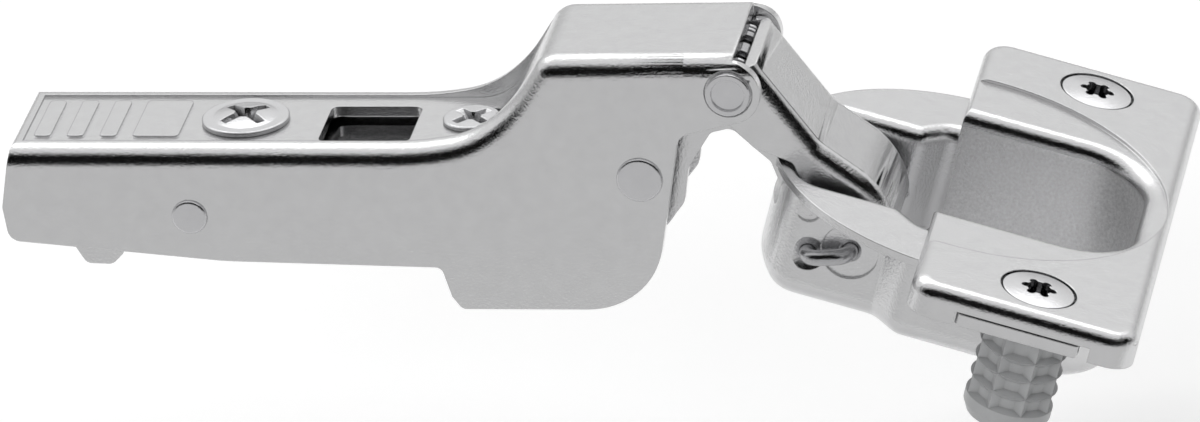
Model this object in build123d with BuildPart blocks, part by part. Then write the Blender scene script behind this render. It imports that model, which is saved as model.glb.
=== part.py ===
"""Clip-on concealed cup hinge, half cranked, shown fully open at 107 degrees.

Millimetres. +X runs along the arm towards the cup, +Y along the pins and +Z
away from the cabinet side. The origin is on the underside of the inner arm's
web, above the rear pin, where the hinge sits on its mounting plate. The whole
hinge is symmetric about Y = 0, apart from the window and the small hardware.
"""
from build123d import *
from math import asin, atan2, cos, degrees, hypot, radians, sin, tan
import os

# Sheet metal
ARM_SHEET = 1.2
INNER_ARM_SHEET = 1.0
LINK_SHEET = 0.9
CUP_SHEET = 0.8
LATCH_SHEET = 0.8

# Clearances
PIN_FIT = 0.03
PLATE_GAP = 0.15
SCREW_FIT = 0.05
LEVER_GAP = 0.3
LINK_GAP = 0.2
LINK_SIDE_GAP = 0.35
CUP_LINK_GAP = 2.0

# Arm: one folded sheet, open underneath
ARM_WIDTH = 15.2
ARM_BEND = 2.0
ROOF_SPARE = 12.0
ARM_REAR_X = -16.8
ARM_FRONT_X = 52.35
RIM_Z = 3.2
WEB_DISH = 0.25
WEB_RIM = 2.3
PLATEAU_Z = 12.2
PLATEAU_RISE = 0.2
CRANK_X = (22.0, 27.2, 31.0, 34.3)
CRANK_WEB_X = (29.0, 34.4)
CHEEK_REAR_Z = -6.1
CHEEK_MIDDLE = (3.0, -8.15)
CHEEK_FRONT_Z = -8.75
NOSE_REAR_X = 24.4
NOSE_FRONT_X = 43.4
NOSE_Z = -13.0
NOSE_RADIUS = 7.5
FINGER_X = 46.9
FINGER_Z = 4.7
WINDOW_X = (12.2, 20.9)
WINDOW_Y = (-4.9, 3.2)
PAD_LENGTHS = (1.6, 1.6, 1.6, 4.4)
PAD_PITCH = 3.15
PAD_FIRST_X = -15.1
PAD_HALF_WIDTH = 4.1
PAD_HEIGHT = 0.2

# Places of the pins
REAR_PIN = (0.0, -3.6)
INNER_PIN = (43.0, 0.3)
OUTER_PIN = (51.85, 8.95)
REAR_PIN_R = 1.25
REAR_HEAD_R = 1.7
LINK_PIN_R = 1.25
INNER_HEAD_R = 2.18
OUTER_HEAD_R = 2.1
OUTER_DISH_R = 1.56
HEAD_HEIGHT = 0.35
FINGER_R = 3.0

# Inner arm and its adjusting screws
INNER_ARM_X = (-14.0, 32.0)
INNER_ARM_LIFT = 0.35
DEPTH_TRAVEL = (-2.0, 3.0)
DEPTH_SCREW_X = 4.5
DEPTH_RING_R = 4.15
DEPTH_DOME_R = 3.1
DEPTH_PEG_R = 1.0
DEPTH_PEG_THROW = 2.5
DEPTH_TURN_PER_MM = 36.0
SIDE_SCREW_X = 26.1
SIDE_RING_R = 2.75
SIDE_NECK_R = 1.1
SIDE_FOOT_R = 1.9
TILT_ROOM = 0.8

# Clip lever under the rear end
LEVER_PIN = (-10.0, -3.2)
LEVER_PIN_R = 1.0
LEVER_PAD_REACH = 7.9
LEVER_SPRING_WIRE = 0.35

# Cup, in the flange's own frame: u along the flange, y along the pins,
# n up out of the door, from the middle of the screw line on the flange top
OPENING_ANGLE = 107.0
FLANGE_ORIGIN = (82.0, 0.0, -3.87)
SCREW_PITCH = 45.0
CUP_CENTRE_U = -9.0
BORE_R = 17.5
BRIM_OVERHANG = 1.0
FLANGE_U = (-11.3, 10.1)
FLANGE_END = 5.5
FLANGE_HEIGHT = 3.2
FLANGE_CORNER_R = 2.6
FLANGE_BEND = 1.3
STEP_DEPTH = 0.35
CUP_DEPTH = 14.5
WELL_STEP = 2.5
WELL_END_U = 7.2
WELL_CORNER_R = 6.6
WELL_STEP_R = 1.6
PIN_END_U = -13.2
FLOOR_BEND = 2.2
MOUTH_ROUND = 1.4
NOTCH_GAP = 0.3
NOTCH_FLOOR_N = -7.6

# The two cup pivots, in the flange's frame
INNER_PIVOT = (-21.7, -9.4)
OUTER_PIVOT = (-17.9, -8.1)

# Outer link: its web starts beside the outer pin, runs straight, and curls into the cup
LINK_COVER = 3.03
LINK_EYE_R = 1.9
LINK_WEB_RUN = (0.6, 9.4)
LINK_CURL_ANGLE = 38
LINK_CURL_REACH = 3.8

# Inner link
INNER_EYE_R = 1.9

# Small dishes in the cup's side walls
LEG_DISH_R = 1.75
LEG_DISH_DEPTH = 0.45
WALL_MARK = (-22.6, -5.0)
WALL_MARK_R = (0.65, 1.25)
WALL_MARK_DEPTH = 0.3

# Flange dowels, their plates and screws
DOWEL_R = 4.1
DOWEL_CORE_R = 3.4
DOWEL_DEPTH = 13.3
DOWEL_BAND = 1.0
DOWEL_TAPER = 1.05
DOWEL_RIBS = 8
DOWEL_RIB_HALF_WIDTH = 0.95
DOWEL_CRESTS = 4
DOWEL_CREST_PITCH = 1.85
PLATE_U = (-6.6, 5.1)
PLATE_THICKNESS = 1.2
PLATE_PAST_SCREW = 6.9
PLATE_SLOT_ROOM = (0.15, 0.85)
SCREW_HEAD_R = 3.5
SCREW_SHANK_R = 1.6
SCREW_LENGTH = 9.0

# Closing spring round the outer pin
SPRING_WIRE_R = 0.35
SPRING_TURNS = 4.5

# U wires through the cup's side walls, whose legs are the cup pivots
HAIRPIN_R = 0.75
HAIRPIN_OUT = 1.1
HAIRPIN_BEND = 1.3
LEG_PAST_LINK = (0.85, 1.1)

os.makedirs("parts", exist_ok=True)

HALF_ARM = ARM_WIDTH / 2
ARM_INSIDE = HALF_ARM - ARM_SHEET
OUTER_LINK_HALF_WIDTH = ARM_INSIDE - LINK_GAP
INNER_LINK_HALF_WIDTH = OUTER_LINK_HALF_WIDTH - LINK_SHEET - LINK_SIDE_GAP
PIN_END_HALF_WIDTH = OUTER_LINK_HALF_WIDTH + CUP_LINK_GAP
WELL_HALF_WIDTH = PIN_END_HALF_WIDTH + WELL_STEP
HAIRPIN_OUT_Y = PIN_END_HALF_WIDTH + CUP_SHEET + HAIRPIN_OUT
LEG_REACH = (INNER_LINK_HALF_WIDTH - LEG_PAST_LINK[0], OUTER_LINK_HALF_WIDTH - LEG_PAST_LINK[1])
BRIM_R = BORE_R + BRIM_OVERHANG
FLANGE_LENGTH = SCREW_PITCH + 2 * FLANGE_END
PLATE_INNER_Y = SCREW_PITCH / 2 - PLATE_PAST_SCREW
PAST_ARM = HALF_ARM + 1
WEB_UNDER_Z = RIM_Z - ARM_SHEET - 0.1
WEB_Z = RIM_Z - WEB_DISH
flange = Plane(
    origin=FLANGE_ORIGIN,
    x_dir=(cos(radians(OPENING_ANGLE - 90)), 0, -sin(radians(OPENING_ANGLE - 90))),
    z_dir=(sin(radians(OPENING_ANGLE - 90)), 0, cos(radians(OPENING_ANGLE - 90))),
)


def side_of(place):
    """A place (u, n) in the flange's frame, as (x, z) of the hinge."""
    point = flange.from_local_coords((place[0], 0, place[1]))
    return (point.X, point.Z)


def toward(start, angle, length):
    """The point at a length and an angle from start, in the side view."""
    return (start[0] + length * cos(radians(angle)), start[1] + length * sin(radians(angle)))


def save(part, name):
    """Label a finished piece and write it."""
    part.label = name
    export_step(part, f"parts/{name}.step")


def side_prism(points, radii, half_width):
    """A solid with a closed, rounded outline in the side view."""
    with BuildPart() as prism:
        with BuildSketch(Plane.XZ):
            with BuildLine():
                FilletPolyline(*points, radius=radii, close=True)
            make_face()
        extrude(amount=half_width, both=True)
    return prism.part


def cross_rod(place, radius, y_from, y_to):
    """A round rod along Y between two values of y."""
    with BuildPart() as rod:
        with BuildSketch(Plane.XZ.offset(-y_to)):
            with Locations(place):
                Circle(radius)
        extrude(amount=y_to - y_from)
    return rod.part


inner_pivot = side_of(INNER_PIVOT)
outer_pivot = side_of(OUTER_PIVOT)

# Hinge arm: a channel with a low rear part, a crank and a raised plateau
plateau_end_z = PLATEAU_Z + PLATEAU_RISE
arm_outline = [
    (ARM_REAR_X, RIM_Z),
    (CRANK_X[0], RIM_Z),
    (CRANK_X[1], RIM_Z + 0.9),
    (CRANK_X[2], RIM_Z + 4.0),
    (CRANK_X[3], PLATEAU_Z),
    (ARM_FRONT_X, plateau_end_z),
    (ARM_FRONT_X, OUTER_PIN[1] - FINGER_R + 0.05),
    (FINGER_X, FINGER_Z),
    (NOSE_FRONT_X + 2.0, NOSE_Z + 10.0),
    (NOSE_FRONT_X, NOSE_Z),
    (NOSE_REAR_X + 0.9, NOSE_Z),
    (NOSE_REAR_X, NOSE_Z + 1.3),
    (NOSE_REAR_X - 0.8, CHEEK_FRONT_Z),
    CHEEK_MIDDLE,
    (ARM_REAR_X - 0.7, CHEEK_REAR_Z),
    (ARM_REAR_X - 1.1, REAR_PIN[1] + 0.9),
]
arm_radii = [0.5, 30.0, 10.0, 14.0, 2.4, 0.2, 0.2, 1.6, 20.0, NOSE_RADIUS, 0.8, 0.7, 0.8, 30.0, 1.3, 1.5]
roof_outline = [
    (ARM_REAR_X - ROOF_SPARE, RIM_Z),
    *arm_outline[1:5],
    (ARM_FRONT_X + ROOF_SPARE, plateau_end_z + ROOF_SPARE * PLATEAU_RISE / (ARM_FRONT_X - CRANK_X[3])),
    (ARM_FRONT_X + ROOF_SPARE, NOSE_Z - ROOF_SPARE),
    (ARM_REAR_X - ROOF_SPARE, NOSE_Z - ROOF_SPARE),
]
cavity_outline = [
    (ARM_REAR_X - 6, WEB_UNDER_Z),
    (CRANK_WEB_X[0], WEB_UNDER_Z),
    (CRANK_WEB_X[1] + 0.8, PLATEAU_Z - ARM_SHEET),
    (ARM_FRONT_X + 6, plateau_end_z - ARM_SHEET),
    (ARM_FRONT_X + 6, NOSE_Z - 6),
    (ARM_REAR_X - 6, NOSE_Z - 6),
]
dish_outline = [
    (ARM_REAR_X + 0.9, WEB_Z),
    (CRANK_WEB_X[0], WEB_Z),
    (CRANK_WEB_X[1], PLATEAU_Z + 0.4),
    (CRANK_WEB_X[1] - 3, PLATEAU_Z + 4),
    (ARM_REAR_X + 0.9, PLATEAU_Z + 4),
]
arm_dish = side_prism(dish_outline, [0.2, 5.0, 1.0, 1.0, 1.0], HALF_ARM - WEB_RIM)
arm_cavity = side_prism(cavity_outline, [0.5, 4.0, 2.0, 0.5, 0.5, 0.5], ARM_INSIDE)
arm_block = side_prism(arm_outline, arm_radii, HALF_ARM)
arm_roof = side_prism(roof_outline, [0.1] + arm_radii[1:5] + [0.1] * 3, HALF_ARM)

with BuildPart() as hinge_arm:
    add(arm_roof)
    top_edges = [
        e for e in hinge_arm.edges()
        if abs(abs(e.center().Y) - HALF_ARM) < 0.01
        and e.center().Z > RIM_Z - 0.05
        and e.bounding_box().size.X > 0.2
    ]
    fillet(top_edges, ARM_BEND)
    add(arm_block, mode=Mode.INTERSECT)
    add(arm_cavity, mode=Mode.SUBTRACT)
    add(arm_dish, mode=Mode.SUBTRACT)
    for side in (-1, 1):
        with BuildSketch(Plane.XZ.offset(-side * (HALF_ARM - ARM_SHEET / 2))):
            with Locations(OUTER_PIN):
                Circle(FINGER_R)
        extrude(amount=ARM_SHEET / 2, both=True)
    with BuildSketch(Plane.XY.offset(WEB_UNDER_Z - 1)):
        with Locations(((WINDOW_X[0] + WINDOW_X[1]) / 2, (WINDOW_Y[0] + WINDOW_Y[1]) / 2)):
            RectangleRounded(WINDOW_X[1] - WINDOW_X[0], WINDOW_Y[1] - WINDOW_Y[0], 0.8)
        with Locations((DEPTH_SCREW_X, 0)):
            Circle(DEPTH_DOME_R - 0.4)
        with Locations((SIDE_SCREW_X, 0)):
            Circle(SIDE_FOOT_R + SCREW_FIT)
    extrude(amount=4, mode=Mode.SUBTRACT)
    with BuildSketch(Plane.XY.offset(WEB_Z)):
        with Locations((SIDE_SCREW_X, 0)):
            Circle(SIDE_RING_R + SCREW_FIT)
    extrude(amount=6, mode=Mode.SUBTRACT)
    for number, length in enumerate(PAD_LENGTHS):
        with BuildSketch(Plane.XY.offset(WEB_Z)):
            with Locations((PAD_FIRST_X + number * PAD_PITCH + length / 2, 0)):
                RectangleRounded(length, 2 * PAD_HALF_WIDTH, 0.5)
        extrude(amount=PAD_HEIGHT)
    for place, radius in ((REAR_PIN, REAR_PIN_R), (INNER_PIN, LINK_PIN_R), (OUTER_PIN, LINK_PIN_R)):
        add(cross_rod(place, radius + PIN_FIT, -PAST_ARM, PAST_ARM), mode=Mode.SUBTRACT)
save(hinge_arm.part, "hinge_arm")

# Inner arm: the channel that clips onto the mounting plate
inner_half = ARM_INSIDE - PLATE_GAP
inner_inside = inner_half - INNER_ARM_SHEET
lever_half_width = inner_inside - LEVER_GAP


def cheek_bottom(x):
    """Height of the hinge arm's lower edge at x, behind the nose."""
    rear, front = (ARM_REAR_X, CHEEK_REAR_Z), CHEEK_MIDDLE
    if x > CHEEK_MIDDLE[0]:
        rear, front = CHEEK_MIDDLE, (NOSE_REAR_X, CHEEK_FRONT_Z)
    return rear[1] + (x - rear[0]) / (front[0] - rear[0]) * (front[1] - rear[1])


inner_outline = [
    (INNER_ARM_X[0], INNER_ARM_SHEET),
    (INNER_ARM_X[1], INNER_ARM_SHEET),
    (INNER_ARM_X[1], cheek_bottom(INNER_ARM_X[1]) + 1.2),
    (NOSE_REAR_X, cheek_bottom(NOSE_REAR_X) + INNER_ARM_LIFT),
    (CHEEK_MIDDLE[0], CHEEK_MIDDLE[1] + INNER_ARM_LIFT),
    (INNER_ARM_X[0], cheek_bottom(INNER_ARM_X[0]) + INNER_ARM_LIFT),
]
inner_hollow = [
    (INNER_ARM_X[0] - 5, 0),
    (INNER_ARM_X[1] + 5, 0),
    (INNER_ARM_X[1] + 5, -20),
    (INNER_ARM_X[0] - 5, -20),
]
slot_middle = sum(DEPTH_TRAVEL) / 2
peg_slot_x = DEPTH_SCREW_X + slot_middle
hook_z = -4.4

with BuildPart() as inner_arm:
    add(side_prism(inner_outline, [0.3, 0.3, 0.8, 2.0, 10.0, 0.8], inner_half))
    fillet(inner_arm.faces().sort_by(Axis.Z)[-1].edges().filter_by(Axis.X), 1.4)
    add(side_prism(inner_hollow, [0.1] * 4, inner_inside), mode=Mode.SUBTRACT)
    with BuildSketch(Plane.XY.offset(-1)):
        with Locations((peg_slot_x, DEPTH_PEG_THROW / 2)):
            Rectangle(2 * (DEPTH_PEG_R + 0.65), DEPTH_PEG_THROW + 2 * (DEPTH_PEG_R + 0.15))
        with Locations(((WINDOW_X[0] + WINDOW_X[1]) / 2, (WINDOW_Y[0] + WINDOW_Y[1]) / 2)):
            RectangleRounded(WINDOW_X[1] - WINDOW_X[0] - 1, WINDOW_Y[1] - WINDOW_Y[0], 0.8)
        with Locations((SIDE_SCREW_X + slot_middle, 0)):
            SlotCenterToCenter(DEPTH_TRAVEL[1] - DEPTH_TRAVEL[0], 2 * (SIDE_NECK_R + 0.3))
    extrude(amount=3, mode=Mode.SUBTRACT)
    with BuildSketch(Plane.XZ):
        with Locations((REAR_PIN[0] + slot_middle, REAR_PIN[1])):
            SlotCenterToCenter(DEPTH_TRAVEL[1] - DEPTH_TRAVEL[0], 2 * (REAR_PIN_R + 0.08))
        with Locations(LEVER_PIN):
            Circle(LEVER_PIN_R + PIN_FIT)
        with Locations((INNER_ARM_X[1], hook_z)):
            SlotCenterToCenter(7.0, 2.6)
    extrude(amount=HALF_ARM, both=True, mode=Mode.SUBTRACT)
save(inner_arm.part, "inner_arm")


def headed_pin(place, shank_r, head_r, dish_r):
    """A pin right across the arm with a low round head outside each cheek."""
    with BuildPart() as pin:
        add(cross_rod(place, shank_r, -HALF_ARM - 0.1, HALF_ARM + 0.1))
        for side in (-1, 1):
            head_at = -HALF_ARM - HEAD_HEIGHT if side < 0 else HALF_ARM + 0.02
            add(cross_rod(place, head_r, head_at, head_at + HEAD_HEIGHT - 0.02))
        rims = [e for e in pin.edges() if abs(abs(e.center().Y) - HALF_ARM - HEAD_HEIGHT) < 0.01]
        fillet(rims, 0.12)
        if dish_r:
            for side in (-1, 1):
                dish_at = -HALF_ARM - HEAD_HEIGHT if side < 0 else HALF_ARM + HEAD_HEIGHT - 0.22
                add(cross_rod(place, dish_r, dish_at, dish_at + 0.22), mode=Mode.SUBTRACT)
    return pin.part


save(headed_pin(REAR_PIN, REAR_PIN_R, REAR_HEAD_R, 0), "rear_pin")
save(headed_pin(INNER_PIN, LINK_PIN_R, INNER_HEAD_R, 0), "inner_link_pin")
save(headed_pin(OUTER_PIN, LINK_PIN_R, OUTER_HEAD_R, OUTER_DISH_R), "outer_link_pin")


def dome_points(half_width, low, high):
    """Rim, middle and top of the arc that makes a dome round the Z axis."""
    radius = (half_width**2 + (high - low) ** 2) / (2 * (high - low))
    half_angle = asin(half_width / radius) / 2
    middle = (radius * sin(half_angle), high - radius * (1 - cos(half_angle)))
    return (half_width, low), middle, (0, high)


def cross_recess(reach, width, depth, turn):
    """The solid that a cross-head driver fills, its top at z = 0."""
    with BuildPart() as recess:
        with BuildSketch():
            Rectangle(2 * reach, width, rotation=turn)
            Rectangle(width, 2 * reach, rotation=turn)
            Circle(width * 0.95)
        extrude(amount=-depth, taper=22)
    return recess.part


# Depth adjusting screw: a domed cross head on a wide ring, with a throw peg
ring_top = WEB_Z + 0.5
dome_top = ring_top + 0.4
foot_z = INNER_ARM_SHEET + 0.3
with BuildPart() as depth_screw:
    with BuildSketch(Plane.XZ):
        with BuildLine():
            Polyline(
                (0, foot_z), (DEPTH_DOME_R - 0.1, foot_z), (DEPTH_DOME_R - 0.1, WEB_UNDER_Z - 0.05),
                (DEPTH_DOME_R - 0.45, WEB_UNDER_Z - 0.05), (DEPTH_DOME_R - 0.45, WEB_Z + 0.03),
                (DEPTH_RING_R, WEB_Z + 0.03), (DEPTH_RING_R, ring_top - 0.12),
                (DEPTH_RING_R - 0.12, ring_top), (DEPTH_DOME_R, ring_top),
            )
            ThreePointArc(*dome_points(DEPTH_DOME_R, ring_top, dome_top))
            Line((0, dome_top), (0, foot_z))
        make_face()
    revolve(axis=Axis.Z)
    with BuildSketch(Plane.XY.offset(foot_z)):
        peg_turn = 90 - slot_middle * DEPTH_TURN_PER_MM
        with Locations(toward((0, 0), peg_turn, DEPTH_PEG_THROW)):
            Circle(DEPTH_PEG_R)
    extrude(amount=-foot_z - 0.3)
    depth_recess = cross_recess(DEPTH_DOME_R - 0.4, 1.15, 1.3, 45)
    add(depth_recess.moved(Location((0, 0, dome_top))), mode=Mode.SUBTRACT)
save(depth_screw.part.moved(Location((DEPTH_SCREW_X, 0, 0))), "depth_adjusting_screw")

# Side adjusting screw: its foot hangs in a slot of the inner arm
with BuildPart() as side_screw:
    with BuildSketch(Plane.XZ):
        with BuildLine():
            Polyline(
                (0, -TILT_ROOM - 1.4), (SIDE_FOOT_R, -TILT_ROOM - 1.4), (SIDE_FOOT_R, -TILT_ROOM - 0.4),
                (SIDE_NECK_R, -TILT_ROOM - 0.4), (SIDE_NECK_R, WEB_UNDER_Z), (SIDE_FOOT_R, WEB_UNDER_Z),
                (SIDE_FOOT_R, WEB_Z + 0.03), (SIDE_RING_R, WEB_Z + 0.03), (SIDE_RING_R, ring_top - 0.2),
                (SIDE_RING_R - 0.15, ring_top - 0.05), (0, ring_top + 0.05), (0, -TILT_ROOM - 1.4),
            )
        make_face()
    revolve(axis=Axis.Z)
    side_recess = cross_recess(SIDE_RING_R - 0.6, 0.95, 1.2, 45)
    add(side_recess.moved(Location((0, 0, ring_top + 0.05))), mode=Mode.SUBTRACT)
save(side_screw.part.moved(Location((SIDE_SCREW_X, 0, 0))), "side_adjusting_screw")

# Clip lever: a folded channel with a press pad behind and a hook in front
lever_x, lever_z = LEVER_PIN
lever_outline = [
    (lever_x + 2.4, lever_z + 1.6),
    (lever_x - 2.5, lever_z + 1.8),
    (lever_x - LEVER_PAD_REACH, lever_z + 0.2),
    (lever_x - LEVER_PAD_REACH, lever_z - 2.9),
    (lever_x - 2.6, lever_z - 3.4),
    (lever_x - 0.9, lever_z - 6.4),
    (lever_x + 1.6, lever_z - 6.5),
    (lever_x + 2.9, lever_z - 5.2),
    (lever_x + 1.2, lever_z - 4.2),
    (lever_x + 2.4, lever_z - 2.4),
]
lever_inside = lever_half_width - LATCH_SHEET
with BuildPart() as clip_lever:
    add(side_prism(lever_outline, [0.8, 2.0, 0.7, 0.7, 1.2, 0.9, 1.0, 0.3, 0.4, 0.6], lever_half_width))
    with BuildSketch(Plane.XZ):
        with Locations((lever_x - LEVER_PAD_REACH + LATCH_SHEET + 10, lever_z)):
            Rectangle(20, 30)
    extrude(amount=lever_inside, both=True, mode=Mode.SUBTRACT)
    add(cross_rod(LEVER_PIN, LEVER_PIN_R + PIN_FIT, -PAST_ARM, PAST_ARM), mode=Mode.SUBTRACT)
save(clip_lever.part, "clip_lever")
save(cross_rod(LEVER_PIN, LEVER_PIN_R, -inner_half, inner_half), "clip_lever_pin")


def coil(place, coil_r, wire_r, turns, pitch):
    """An open helical spring with its axis along Y through a place."""
    with BuildPart() as spring:
        with BuildLine() as wire:
            Helix(pitch=pitch, height=turns * pitch, radius=coil_r)
        with BuildSketch(Plane(origin=wire.line @ 0, z_dir=wire.line % 0)):
            Circle(wire_r)
        sweep(is_frenet=True)
    upright = spring.part.moved(Location((0, 0, -turns * pitch / 2)))
    return upright.rotate(Axis.X, 90).moved(Location((place[0], 0, place[1])))


lever_coil_r = LEVER_PIN_R + 0.1 + LEVER_SPRING_WIRE
spring_coil_r = LINK_PIN_R + 0.04 + SPRING_WIRE_R
spring_pitch = 2 * (INNER_LINK_HALF_WIDTH - SPRING_WIRE_R) / SPRING_TURNS
save(coil(LEVER_PIN, lever_coil_r, LEVER_SPRING_WIRE, 3.5, 1.1), "clip_lever_spring")
save(coil(OUTER_PIN, spring_coil_r, SPRING_WIRE_R, SPRING_TURNS, spring_pitch), "closing_spring")

# Outer link: a folded channel that curls into the cup
pivot_run = atan2(outer_pivot[1] - OUTER_PIN[1], outer_pivot[0] - OUTER_PIN[0])
link_turn = degrees(pivot_run)
square_out = link_turn + 90
web_top = (OUTER_PIN[0] + 1.75, PLATEAU_Z - 0.1)
web_crease = toward(toward(OUTER_PIN, square_out, LINK_COVER), link_turn, LINK_WEB_RUN[0])
web_bend = toward(toward(OUTER_PIN, square_out, LINK_COVER), link_turn, LINK_WEB_RUN[1])
curl_far_x = outer_pivot[0] + LINK_CURL_REACH
curl_corner = (curl_far_x, web_bend[1] - (curl_far_x - web_bend[0]) * tan(radians(LINK_CURL_ANGLE)))
curl_end = (curl_far_x, outer_pivot[1] - 0.5)
eye_r = hypot(inner_pivot[0] - outer_pivot[0], inner_pivot[1] - outer_pivot[1]) - HAIRPIN_R - 0.15
link_outline = [
    web_top,
    web_crease,
    web_bend,
    curl_corner,
    curl_end,
    (curl_far_x - 1.5, outer_pivot[1] - 1.9),
    toward(outer_pivot, -95, eye_r + 0.15),
    toward(outer_pivot, -145, eye_r + 0.15),
    (inner_pivot[0] + 1.25, inner_pivot[1] + 0.6),
    (57.3, 1.4),
    (53.7, 2.95),
    (51.7, 5.05),
    (OUTER_PIN[0] - 1.3, OUTER_PIN[1] - 2.0),
    (OUTER_PIN[0] - LINK_EYE_R, OUTER_PIN[1] + 0.6),
    (OUTER_PIN[0] - 0.8, OUTER_PIN[1] + LINK_EYE_R),
    (OUTER_PIN[0] + 0.8, OUTER_PIN[1] + LINK_EYE_R),
    (web_top[0] - 0.8, web_top[1] - 0.4),
]
link_radii = [0.2, 2.0, 3.0, 8.0, 0.4, 0.5, 1.8, 1.8, 1.5, 1.0, 0.6, 0.8, 1.0, 0.8, 0.4, 0.2, 0.1]
web_region = [
    toward(web_crease, link_turn + 176, 9.0),
    web_crease,
    web_bend,
    curl_corner,
    (curl_far_x, outer_pivot[1] - 12),
    (30, outer_pivot[1] - 12),
    (30, web_crease[1] + 3),
]
with BuildPart() as outer_link:
    add(side_prism(link_outline, link_radii, OUTER_LINK_HALF_WIDTH))
    with BuildSketch(Plane.XZ) as link_hollow:
        with BuildLine():
            FilletPolyline(*web_region, radius=[0.1, 2.0, 3.0, 8.0, 0.1, 0.1, 0.1], close=True)
        make_face()
        offset(amount=-LINK_SHEET, kind=Kind.INTERSECTION, mode=Mode.REPLACE)
    extrude(amount=OUTER_LINK_HALF_WIDTH - LINK_SHEET, both=True, mode=Mode.SUBTRACT)
    with BuildSketch(Plane.XZ):
        with Locations((outer_pivot[0] + 3, outer_pivot[1] + 0.7 - 5)):
            Rectangle(10, 10)
    extrude(amount=OUTER_LINK_HALF_WIDTH - LINK_SHEET, both=True, mode=Mode.SUBTRACT)
    add(cross_rod(OUTER_PIN, LINK_PIN_R + PIN_FIT, -PAST_ARM, PAST_ARM), mode=Mode.SUBTRACT)
    add(cross_rod(outer_pivot, HAIRPIN_R + PIN_FIT, -PAST_ARM, PAST_ARM), mode=Mode.SUBTRACT)
save(outer_link.part, "outer_link")

# Inner link: a gooseneck channel that passes under the outer pin and over the brim
neck_edge = [
    (39.6, 1.2),
    (39.8, -3.2),
    (41.8, -6.0),
    (44.7, -5.6),
    (46.6, -3.2),
    (47.2, 0.4),
    (49.5, 3.9),
    (51.5, 4.4),
    (53.6, 2.3),
    (55.0, 1.0),
    (55.6, -0.9),
    (56.1, -3.0),
    (inner_pivot[0] - 1.95, inner_pivot[1] + 1.8),
]
neck_tip = [
    toward(inner_pivot, 190, INNER_EYE_R + 0.3),
    toward(inner_pivot, 235, INNER_EYE_R + 0.25),
    toward(inner_pivot, 280, INNER_EYE_R + 0.25),
    toward(inner_pivot, 325, INNER_EYE_R + 0.25),
    toward(inner_pivot, 15, INNER_EYE_R + 0.3),
    toward(inner_pivot, 68, INNER_EYE_R + 0.3),
]
neck_back = [
    (57.95, -3.3),
    (57.7, -1.7),
    (56.9, 0.4),
    (54.4, 3.05),
    (52.5, 5.0),
    (51.7, 6.4),
    (48.6, 6.2),
    (44.6, 5.9),
    (40.6, 4.6),
]
neck_radii = [1.2, 2.2, 1.6, 1.6, 1.6, 2.0, 0.8, 1.2, 4.0, 1.2, 5.0, 5.0, 2.0]
neck_radii += [0.8, 0.8, 0.8, 0.8, 0.8, 0.8]
neck_radii += [1.0, 3.0, 3.0, 8.0, 1.5, 0.8, 3.0, 3.0, 2.0]
slot_low = (INNER_PIN[0] + 0.1, INNER_PIN[1] + 0.05)
slot_high = (INNER_PIN[0] + 0.42, INNER_PIN[1] + 1.95)
slot_length = hypot(slot_high[0] - slot_low[0], slot_high[1] - slot_low[1])
slot_turn = degrees(atan2(slot_high[1] - slot_low[1], slot_high[0] - slot_low[0]))
with BuildPart() as inner_link:
    add(side_prism(neck_edge + neck_tip + neck_back, neck_radii, INNER_LINK_HALF_WIDTH))
    hollow = neck_edge[5:] + [(inner_pivot[0] - 1.9, inner_pivot[1] - 8), (90, -20), (90, 40), (47.2, 40)]
    hollow_radii = [0.1] + neck_radii[6:12] + [2.0, 0.1, 0.1, 0.1, 0.1]
    with BuildSketch(Plane.XZ):
        with BuildLine():
            FilletPolyline(*hollow, radius=hollow_radii, close=True)
        make_face()
        offset(amount=-LINK_SHEET, kind=Kind.INTERSECTION, mode=Mode.REPLACE)
        with Locations((inner_pivot[0], inner_pivot[1] - 10 + 0.4)):
            Rectangle(20, 20)
        with Locations((30, 0)):
            Rectangle(2 * 17.2, 60)
    extrude(amount=INNER_LINK_HALF_WIDTH - LINK_SHEET, both=True, mode=Mode.SUBTRACT)
    with BuildSketch(Plane.XZ):
        with Locations(((slot_low[0] + slot_high[0]) / 2, (slot_low[1] + slot_high[1]) / 2)):
            SlotCenterToCenter(slot_length, 2 * (LINK_PIN_R + 0.5), rotation=slot_turn)
        with Locations(inner_pivot):
            Circle(HAIRPIN_R + PIN_FIT)
    extrude(amount=10, both=True, mode=Mode.SUBTRACT)
save(inner_link.part, "inner_link")


def hairpin(side):
    """The U wire through one side wall; its two legs are the cup pivots."""
    legs = [
        (inner_pivot[0], side * LEG_REACH[0], inner_pivot[1]),
        (inner_pivot[0], side * HAIRPIN_OUT_Y, inner_pivot[1]),
        (outer_pivot[0], side * HAIRPIN_OUT_Y, outer_pivot[1]),
        (outer_pivot[0], side * LEG_REACH[1], outer_pivot[1]),
    ]
    with BuildPart() as wire_part:
        with BuildLine() as wire:
            FilletPolyline(*legs, radius=HAIRPIN_BEND)
        with BuildSketch(Plane(origin=wire.line @ 0, z_dir=wire.line % 0)):
            Circle(HAIRPIN_R)
        sweep()
    return wire_part.part


save(hairpin(-1), "hairpin_near")
save(hairpin(1), "hairpin_far")


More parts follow.
